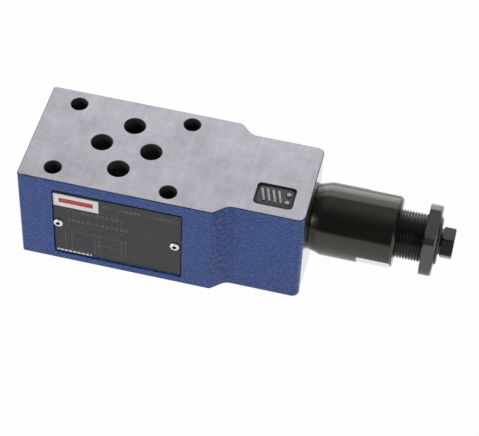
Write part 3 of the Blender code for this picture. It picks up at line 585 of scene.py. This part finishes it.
blue = paint_on_cast_iron()
ground = ground_iron()
milled = milled_iron()
hole_painted_shade = hole_wall_painted_shade()
# The cast mark is one bare iron in three copies: near black as painted shade in its recess and on
# the walls of the relief, mid grey on faces that look up, and light grey on the tops as a painted
# highlight.
mark_painted_shade = cast_iron("mark_iron_painted_shade", (0.006, 0.006, 0.007), (0.05, 0.05, 0.052), 0.0)
cast_pad = cast_iron("mark_pad_iron", (0.02, 0.02, 0.022), (0.14, 0.14, 0.15), 0.2)
mark_top_painted_highlight = cast_iron("mark_iron_painted_highlight", (0.22, 0.22, 0.23), (0.55, 0.55, 0.57), 0.6)
edge_painted_shade = painted_shade_at_the_ground_edge()
black_turned = turned_steel(
    "black_turned_steel", (0.004, 0.004, 0.003), (0.009, 0.009, 0.007), 0.0, 0.13,
    tint=(1.0, 0.98, 0.89),
)
black_flat = turned_steel(
    "black_milled_flat", (0.54, 0.54, 0.54), (0.72, 0.72, 0.72), 1.0, 0.05, depth=0.0005
)
black_thread = turned_steel(
    "black_thread_steel", (0.006, 0.006, 0.005), (0.016, 0.016, 0.015), 0.1, 0.24
)
dark_nut = turned_steel(
    "dark_nut_steel", (0.065, 0.065, 0.062), (0.125, 0.125, 0.12), 0.7, 0.24, 0.4, 0.0008
)
rivet_metal = turned_steel(
    "rivet_aluminium", (0.88, 0.88, 0.88), (0.97, 0.97, 0.97), 0.5, 0.35, 0.2
)
bright = turned_steel("bright_steel", (0.50, 0.50, 0.50), (0.70, 0.70, 0.69), 1.0, 0.22)
brass = turned_steel("turned_brass", (0.50, 0.33, 0.10), (0.66, 0.46, 0.18), 1.0, 0.25)
seal = rubber()
plate_finish = plate_print()


def coat(piece, finishes, finish_of=None):
    """Gives each face the finish whose number its own test returns, or the first."""
    piece.data.materials.clear()
    for finish in finishes:
        piece.data.materials.append(finish)
    for face in piece.data.polygons:
        face.material_index = int(finish_of(face)) if finish_of else 0


def give(piece, body, slot, *nodes):
    """Gives a piece its body and hides the CAD nodes that it stands for. The slot is not used."""
    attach(piece, body)
    if nodes:
        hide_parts(*nodes)


# Pieces


def drill(x, y, diameter, low, high):
    """The tool for a hole, with a small lead where it goes through a face of the body."""
    radius = diameter / 2
    mouth = radius + BEYOND + LEAD
    if low <= 0:
        start = [(-BEYOND, 0), (-BEYOND, mouth), (LEAD, radius)]
    else:
        start = [(low, 0), (low, radius)]
    if high >= TOP:
        end = [(TOP - LEAD, radius), (TOP + BEYOND, mouth), (TOP + BEYOND, 0)]
    else:
        end = [(high, radius), (high, 0)]
    return turn("drill", start + end, (x * MM, y * MM, 0), **UPRIGHT, steps=64)


def drill_for_rivets(piece, face):
    for x in (0, RIVET_SPACING * MM):
        place = (LEFT_RIVET.x + x, face * MM, LEFT_RIVET.z)
        profile = [(-1, 0), (-1, 1), (2, 1), (2, 0)]
        cut(piece, turn("rivet_drill", profile, place, **INWARDS, steps=32))


def cast_body():
    """The outer form: a wide part, a slope on each side and a narrow part, with rounded edges."""
    body = block("housing_casting", (LEFT_END, -WIDE, 0), (WIDE_END, WIDE, TOP))
    edit(body)
    pick_faces(body, lambda face: face.normal.x > 0.9)
    slope_length = (NARROW_START - WIDE_END) * MM
    bpy.ops.mesh.extrude_region_move(TRANSFORM_OT_translate={"value": (slope_length, 0, 0)})
    bpy.ops.transform.resize(value=(1, NARROW / WIDE, 1), center_override=(0, 0, 0))
    narrow_length = (RIGHT_END - NARROW_START) * MM
    bpy.ops.mesh.extrude_region_move(TRANSFORM_OT_translate={"value": (narrow_length, 0, 0)})
    bpy.ops.mesh.select_all(action="SELECT")
    bpy.ops.mesh.dissolve_limited(angle_limit=math.radians(1))
    leave_edit()
    # An edge's rounding starts its radius away at a right angle, and nearer at the slope's ends.
    slope = math.atan2(WIDE - NARROW, NARROW_START - WIDE_END)
    nearer = math.tan(slope / 2)
    for x, offset in (
        (LEFT_END, 1.0), (WIDE_END, 1.5 * nearer), (NARROW_START, 4.0 * nearer), (RIGHT_END, 2.5)
    ):
        round_edges_along(body, 2, offset, 8, x)
    edit(body)
    pick_edges(body, lambda start, end: abs(start.z - end.z) < SAME)
    bpy.ops.mesh.bevel(offset=EDGE * MM, segments=3, affect="EDGES")
    leave_edit()
    return body


def machine_body(body):
    """Ports with seal recesses below, bolt holes, both bores and the recesses."""
    recess = [(-2, 0), (-2, 8.55), (0.15, 6.4), (1.9, 6.4), (1.9, 0)]
    through = (-BEYOND, TOP + BEYOND)
    for port, (x, y) in PORTS.items():
        for low, high in [(19, TOP + BEYOND), (-BEYOND, 13)] if port == "p" else [through]:
            cut(body, drill(x, y, PORT_HOLE, low, high))
        cut(body, turn("seal_recess", recess, (x * MM, y * MM, 0), **UPRIGHT))
    for x, y in BOLTS:
        cut(body, drill(x, y, BOLT_HOLE, *through))
    cut(body, turn("bonnet_bore", [
        (16.0, 0), (16.0, 5.0), (20.0, 5.0), (20.0, 8.0), (24.0, 8.0), (24.0, 5.0), (28.0, 5.0),
        (28.0, 8.0), (32.0, 8.0), (32.0, 5.0), (38.0, 5.0), (38.0, 8.4), (52.0, 8.4), (52.0, 10.3),
        (65.4, 10.3), (66.0, 10.9), (68.0, 10.9), (68.0, 0),
    ]))
    cut(body, turn("gauge_bore", [
        (-34.5, 0), (-34.5, 8.3), (-28.6, 8.3), (-28.6, 6.7), (-20.0, 6.7), (-20.0, 0),
    ]))
    plate_recess = block("plate_recess", (-20.5, -23.0, 3.0), (25.3, PLATE_SEAT, 35.3))
    round_edges_along(plate_recess, 1, 0.8)
    cut(body, plate_recess)
    drill_for_rivets(body, PLATE_SEAT)
    left, near, right, far = MARK
    mark_recess = block("mark_recess", (left, near, TOP - 0.8), (right, far, TOP + BEYOND))
    round_edges_along(mark_recess, 2, 1.5)
    cut(body, mark_recess)


# Places in the housing's list of finishes
PAINT, GROUND, MILLED, HOLE_PAINTED_SHADE, MARK_PAINTED_SHADE, EDGE_PAINTED_SHADE = range(6)


def housing_finish(face):
    """A face's finish, from where it lies and which way it looks."""
    middle, normal = face.center / MM, face.normal
    off_axis = abs(middle.y - AXIS.y / MM)
    left, near, right, far = MARK
    if abs(normal.z) > 0.98 and not 0.02 <= middle.z <= TOP - 0.02:
        return GROUND
    if normal.x > 0.98 and middle.x > RIGHT_END - 0.02:
        return MILLED
    in_mark = left - 0.2 < middle.x < right + 0.2 and near - 0.2 < middle.y < far + 0.2
    # The recess of the mark takes the near black iron: painted shade.
    if in_mark and middle.z > TOP - 1.0:
        return MARK_PAINTED_SHADE
    outer = (
        middle.x < LEFT_END + 1.2 and off_axis > 8.4
        or abs(middle.y) > NARROW - 0.3 and not near_bolt(middle)
        or middle.x > RIGHT_END - 3.0 and off_axis > 11.0
        or middle.x < LEFT_END + 0.02
    )
    # Faces inside the holes and bores take the dark hole finish: painted shade.
    if not outer:
        return HOLE_PAINTED_SHADE
    # A band along the upper and lower edges takes the dark edge finish: painted shade on the
    # rounded edge.
    return EDGE_PAINTED_SHADE if abs(middle.z - TOP / 2) > TOP / 2 - 0.26 else PAINT


def near_bolt(place):
    reach = BOLT_HOLE / 2 + 0.3
    return any(math.hypot(place.x - x, place.y - y) < reach for x, y in BOLTS)


def make_housing():
    body = cast_body()
    machine_body(body)
    coat(body, (blue, ground, milled, hole_painted_shade, mark_painted_shade, edge_painted_shade), housing_finish)
    smooth(body, math.radians(35))
    apply_modifier(body, "WEIGHTED_NORMAL", keep_sharp=True, weight=90)
    give(body, "housing", "blue_paint", "housing")


def make_bonnet():
    """A turned bonnet with a bore through it and two wrench flats at its free end."""
    bonnet = turn("screwed_bonnet", [
        (66.3, 9.4), (66.3, 11.6), (66.7, 11.6), (70.8, 12.85), (94.7, 12.85), (95.7, 11.85),
        (95.7, 9.5), (95.1, 8.9), (84.0, 8.9), (84.0, 7.4), (72.0, 7.4), (72.0, 8.0), (53.9, 8.0),
        (53.9, 9.4), (54.5, 10.0), (63.9, 10.0), (64.5, 9.4), (66.3, 9.4),
    ])
    inner = BONNET_FLATS / 2
    for side in (-1, 1):
        low, high = sorted((side * inner, side * 16.0))
        flat = block("wrench_flat", (83.5, low, -14.0), (98.0, high, 14.0))
        flat.matrix_world = Matrix.Translation(AXIS) @ Matrix.Rotation(BONNET_ANGLE, 4, "X")
        apply_place(flat)
        cut(bonnet, flat)
    ease_edges(bonnet, 0.12)
    across = Vector((0, math.cos(BONNET_ANGLE), math.sin(BONNET_ANGLE)))

    def on_flat(face):
        reach = abs((face.center - AXIS).dot(across)) / MM
        return abs(face.normal.dot(across)) > 0.999 and abs(reach - inner) < 0.1

    coat(bonnet, (black_turned, black_flat), on_flat)
    give(bonnet, "housing", "black_steel", "bonnet")


def make_thread(name, low, turns, pitch, crest, root, steps=72):
    """A solid bar with a right-hand thread, longer than it has to be at both ends."""
    flat, flank = 0.12 * pitch, 0.44 * pitch
    tooth = [(0, root), (flat, root), (flank, crest), (pitch - flank, crest), (pitch - flat, root),
             (pitch, root)]
    thread = draw_line([Vector((reach, 0, radius)) * MM for reach, radius in tooth])
    leave_edit()
    apply_modifier(
        thread, "SCREW", axis="X", angle=math.tau, screw_offset=pitch * MM, iterations=turns,
        steps=steps, render_steps=steps, use_merge_vertices=True, merge_threshold=SAME,
    )
    edit(thread)
    bpy.ops.mesh.select_all(action="SELECT")
    bpy.ops.mesh.remove_doubles(threshold=2 * SAME)
    bpy.ops.mesh.select_all(action="DESELECT")
    # Each open end is drawn together into one point, which closes the bar.
    bpy.ops.mesh.select_non_manifold()
    bpy.ops.mesh.extrude_region_move()
    bpy.ops.mesh.merge(type="COLLAPSE")
    leave_edit()
    thread.location = AXIS + Vector((low * MM, 0, 0))
    return finish_shape(thread, name)


def make_sleeve():
    """The adjusting sleeve: a pilot with a seal groove, a fine thread and a small hexagon."""
    sleeve = turn("threaded_sleeve", [
        (113.2, 0), (113.2, 4.6), (110.4, 4.6), (110.4, 7.6), (90.3, 7.6), (90.3, 7.1),
        (82.0, 7.1), (82.0, 6.2), (80.8, 6.2), (80.8, 7.1), (71.7, 7.1), (71.7, 6.2),
        (70.7, 6.2), (70.7, 7.1), (69.8, 7.1), (69.5, 6.8), (69.5, 5.0), (99.9, 5.0), (102.4, 0),
    ])
    thread = make_thread("sleeve_thread", low=87.3, turns=26, pitch=1.0, crest=8.6, root=8.02)
    cut(thread, turn("thread_blank", [
        (90.3, 7.4), (90.3, 7.9), (91.0, 8.6), (91.0, 8.7), (109.7, 8.7), (109.7, 8.6),
        (110.4, 7.9), (110.4, 7.4), (90.3, 7.4),
    ]), "INTERSECT")
    cut(sleeve, thread, "UNION")
    hexagon = turn("sleeve_hexagon", [
        (111.1, 0), (111.1, 5.0), (111.5, 5.6), (114.9, 5.6), (115.3, 5.1), (115.3, 0),
    ])
    cut(hexagon, hexagon_bar(110.0, 116.5, HEXAGON_FLATS, HEXAGON_ANGLE), "INTERSECT")
    ease_edges(hexagon, 0.08)
    cut(sleeve, hexagon, "UNION")
    smooth(sleeve)
    coat(sleeve, (black_thread,))
    give(sleeve, "adjusting_sleeve", "black_steel", "adjusting_sleeve")


def make_lock_nut():
    nut = turn("hexagon_lock_nut", [
        (105.45, 8.9), (105.15, 9.3), (105.15, 12.6), (105.45, 13.1), (108.9, 13.1), (109.5, 12.1),
        (109.5, 9.3), (109.2, 8.9), (105.45, 8.9),
    ])
    cut(nut, hexagon_bar(104.0, 111.0, NUT_FLATS, NUT_ANGLE), "INTERSECT")
    ease_edges(nut, 0.1)
    coat(nut, (dark_nut,))
    give(nut, "lock_nut", "dark_steel", "lock_nut")


def make_name_plate():
    plate = block("printed_plate", (-20.2, PLATE_FACE, 3.3), (24.8, -20.5, 34.0))
    round_edges_along(plate, 1, 0.4)
    drill_for_rivets(plate, PLATE_FACE)
    ease_edges(plate, 0.06)
    coat(plate, (plate_finish,))
    give(plate, "housing", "plate_grey", "name_plate")


def make_rivets():
    """Drive rivets with a domed head and a hole in its middle, coloured black as painted shade."""
    eye = 0.735
    left = turn("drive_rivet_left", [
        (0.3, 0), (0.3, 0.70), (-0.50, 0.74), (-0.58, 0.84), (-0.60, 1.0), (-0.57, 1.2),
        (-0.46, 1.45), (-0.28, 1.62), (-0.10, 1.7), (0, 1.66), (0, 0.8), (2.4, 0.8), (2.6, 0.55),
        (2.6, 0),
    ], LEFT_RIVET, **INWARDS, steps=48)
    smooth(left)

    def eye_painted_shade(face):
        off = (face.center - LEFT_RIVET) / MM
        return math.hypot(off.x, off.z) < eye

    # The hole in the middle takes the black steel: painted shade.
    coat(left, (rivet_metal, black_turned), eye_painted_shade)
    right = copy_piece(left, "drive_rivet_right", (RIVET_SPACING, 0, 0))
    for side, rivet in (("left", left), ("right", right)):
        give(rivet, "housing", "bright_steel", f"name_plate_rivet_{side}")


def make_rib():
    """One plain slanting rib at the origin, rounded on top."""
    rib = block("rib", (-0.6, -3.0, 39.2), (0.6, 3.0, 39.96))
    round_edges_along(rib, 2, 0.5)
    edit(rib)
    pick_faces(rib, lambda face: face.normal.z > 0.9)
    bpy.ops.transform.resize(value=(0.7, 0.93, 1))
    bpy.ops.mesh.bevel(offset=0.12 * MM, segments=2, affect="EDGES")
    bpy.ops.mesh.select_all(action="SELECT")
    bpy.ops.transform.rotate(value=math.radians(-18), orient_axis="Z", center_override=(0, 0, 0))
    leave_edit()
    return rib


def make_cast_mark():
    """A raised pad with plain slanting ribs and two studs, in the recess of the upper face."""
    pad = block("cast_mark_relief", (48.0, -12.5, 39.15), (60.0, -4.3, 39.45))
    round_edges_along(pad, 2, 1.2)
    edit(pad)
    pick_faces(pad, lambda face: face.normal.z > 0.9)
    bpy.ops.mesh.inset(thickness=0.25 * MM)
    bpy.ops.transform.translate(value=(0, 0, 0.1 * MM))
    leave_edit()
    rib = make_rib()
    for number in range(4):
        cut(pad, copy_piece(rib, f"rib_{number}", (49.8 + 1.95 * number, -8.4, 0)), "UNION")
    throw_away(rib)
    stud_profile = [(39.2, 0), (39.2, 1.15), (39.75, 1.05), (39.93, 0.8), (39.96, 0)]
    for y in (-10.4, -6.7):
        cut(pad, turn("stud", stud_profile, (58.5 * MM, y * MM, 0), **UPRIGHT, steps=24), "UNION")

    # Tops are light, a painted highlight; upward faces are mid grey; all other faces are near
    # black, painted shade.
    def painted_light_by_height(face):
        return 2 if face.center.z > 39.88 * MM else face.normal.z > 0.9

    coat(pad, (mark_painted_shade, cast_pad, mark_top_painted_highlight), painted_light_by_height)
    smooth(pad, math.radians(40))
    give(pad, "housing", "blue_paint")


def make_port_seal_rings():
    """Seal rings with a fine mould line round the inside and the outside."""
    section = []
    for step in range(21):
        turned = step * math.tau / 20
        line = 0.03 if step % 10 == 0 else 0.0
        section.append((0.9 + 0.69 * math.sin(turned), 5.4 + (0.77 + line) * math.cos(turned)))
    ring = turn("seal_ring", section, (0, 0, 0), **UPRIGHT)
    smooth(ring, math.radians(60))
    coat(ring, (seal,))
    for port, (x, y) in PORTS.items():
        placed = copy_piece(ring, f"seal_ring_{port}", (x, y, 0))
        give(placed, "housing", "black_rubber", f"port_seal_ring_{port}")
    throw_away(ring)


def spring_path(low, high, wire, radius, turns, steps=24):
    """The middle line of a coil spring with one closed turn at each end."""
    closed_pitch = wire + 0.1
    open_pitch = (high - low - wire / 2 - 2 * closed_pitch) / (turns - 2)
    path = []
    for step in range(round(turns * steps) + 1):
        done = step / steps
        closed = min(done, 1) + max(done - (turns - 1), 0)
        reach = low + wire / 4 + closed_pitch * closed + open_pitch * (done - closed)
        turned = math.tau * done
        across = (radius * math.cos(turned), radius * math.sin(turned))
        path.append(AXIS + Vector((reach, *across)) * MM)
    return path


def make_spring():
    """The coil spring in two lengths, in place of the CAD spring, which is hidden."""
    low, middle, high, wire = 45.2, 52.3, 66.6, 2.4
    coil = draw_line(spring_path(low, high, wire, radius=5.9, turns=5.5))
    leave_edit()
    bpy.ops.object.convert(target="CURVE")
    coil.data.bevel_depth = wire / 2 * MM
    coil.data.bevel_resolution = 4
    coil.data.use_fill_caps = True
    bpy.ops.object.convert(target="MESH")
    finish_shape(coil, "coil_spring")
    for end, start, stop, body, moved in (
        ("left", low, middle, "control_spool", low),
        ("right", middle, high, "spring_plate", high),
    ):
        length = copy_piece(coil, f"coil_spring_{end}")
        cut(length, block("span", (start, -20, 0), (stop, 20, 40)), "INTERSECT")
        coat(length, (bright,))
        smooth(length, math.radians(50))
        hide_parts("control_spring")
        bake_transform(length)
    throw_away(coil)


def make_gauge_plug():
    """The plug of the gauge connection, with a hexagon socket."""
    plug = turn("socket_head_plug", [
        (-32.2, 0), (-32.2, 7.6), (-31.8, 8.1), (-30.6, 8.1), (-30.2, 7.9), (-30.2, 6.4),
        (-29.7, 6.2), (-21.6, 6.2), (-21.0, 5.6), (-21.0, 0),
    ])
    cut(plug, turn("socket_lead", [(-33.0, 0), (-33.0, 4.4), (-31.8, 3.2), (-31.8, 0)]))
    cut(plug, hexagon_bar(-33.5, -27.2, SOCKET_FLATS, SOCKET_ANGLE))
    ease_edges(plug, 0.1)
    coat(plug, (dark_nut,))
    give(plug, "housing", "dark_steel", "gauge_plug")


make_housing()
make_bonnet()
make_sleeve()
make_lock_nut()
make_name_plate()
make_rivets()
make_cast_mark()
make_port_seal_rings()
make_gauge_plug()
make_spring()

# These pieces keep the CAD's own shape.
for node, finish in (
    ("control_spool", bright),
    ("damping_orifice", brass),
    ("spring_seat", bright),
    ("spring_plate", bright),
    ("sleeve_retaining_ring", bright),
    ("sleeve_seal_ring", seal),
    ("bonnet_seal_ring", seal),
    ("gauge_plug_seal", seal),
):
    for slot_of_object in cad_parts[node].material_slots:
        slot_of_object.material = finish


# Stage, lights and camera


def floor_finish():
    """A plain floor that lights the valve and that the camera and mirrors see as nearly white."""
    mixed = new_finish("pale_floor")
    plain = mixed.node("ShaderNodeBsdfDiffuse", sockets={"Color": (0.82, 0.82, 0.82, 1.0)})
    white = mixed.node("ShaderNodeEmission")
    seen, in_mirror, through = mixed.outputs(
        mixed.node("ShaderNodeLightPath"), "Is Camera Ray", "Is Glossy Ray", "Is Transmission Ray"
    )
    for ray in (in_mirror, through):
        seen = mixed.maths("MAXIMUM", seen, ray)
    joined = mixed.node("ShaderNodeMixShader", sockets={0: seen * 0.98, 1: plain, 2: white})
    mixed.node("ShaderNodeOutputMaterial", sockets={"Surface": joined})
    return mixed.owner


def make_floor():
    let_go()
    bpy.ops.mesh.primitive_plane_add(size=6, location=(0, 0, -0.15 * MM))
    floor = bpy.context.object
    floor.name = "pale_floor"
    floor.data.materials.append(floor_finish())


def make_world():
    """A dim room that is white below the horizon and just above it, with a soft glow overhead."""
    world = bpy.data.worlds.new("soft_studio")
    bpy.context.scene.world = world
    room = Finish(world, "Generated")
    _, _, up = room.parts()
    horizon = up.spread(0.02, 0.09, 1.0, 0.0)
    towards_glow = room.node(
        "ShaderNodeVectorMath",
        {"operation": "DOT_PRODUCT"},
        {0: room.place, 1: (0.0, 0.26, 0.966)},
        "Value",
    )
    glow = room.maths("MAXIMUM", towards_glow, 0.5, clamp=True) ** 8.0
    level = room.maths("MAXIMUM", glow * 0.6 + 0.11, horizon)
    light = room.node("ShaderNodeBackground", sockets={"Strength": level})
    room.node("ShaderNodeOutputWorld", sockets={"Surface": light})


def soft_light(name, place, width, height, brightness):
    """A softbox aimed at the valve. Its brightness is its radiance, where 1 looks white."""
    let_go()
    bpy.ops.object.light_add(type="AREA", location=place)
    lamp = bpy.context.object
    lamp.name = name
    lamp.data.shape = "RECTANGLE"
    lamp.data.size, lamp.data.size_y = width, height
    lamp.data.energy = brightness * math.pi * width * height
    aim = Vector((0.03, 0, 0.02)) - Vector(place)
    lamp.rotation_euler = aim.to_track_quat("-Z", "Y").to_euler()


def make_camera():
    """The photo's camera, solved from the centres of the holes in the upper face."""
    let_go()
    bpy.ops.object.camera_add()
    camera = bpy.context.object
    place = Vector((121.34, -407.33, 491.27)) * MM
    right = Vector((0.9717, 0.2337, 0.0351))
    down = Vector((0.1988, -0.7277, -0.6565))
    forward = Vector((-0.1278, 0.6449, -0.7535))
    turned = Matrix((right, -down, -forward)).transposed().to_4x4()
    camera.matrix_world = Matrix.Translation(place) @ turned
    camera.data.lens = 135.89
    camera.data.sensor_width = 36.0
    camera.data.clip_start = 0.01
    camera.data.clip_end = 20.0
    bpy.context.scene.camera = camera


make_floor()
make_world()
soft_light("low_back_softbox", (0.03, 1.16, 0.33), 1.4, 0.58, 2.7)
soft_light("high_back_softbox", (0.03, 0.90, 0.815), 1.4, 0.58, 1.45)
soft_light("left_softbox", (-0.9, -0.7, 0.45), 0.5, 0.5, 7.0)
soft_light("right_softbox", (0.95, -0.75, 0.5), 0.5, 0.5, 5.0)
make_camera()
bpy.context.scene.view_settings.view_transform = "Standard"

let_go()
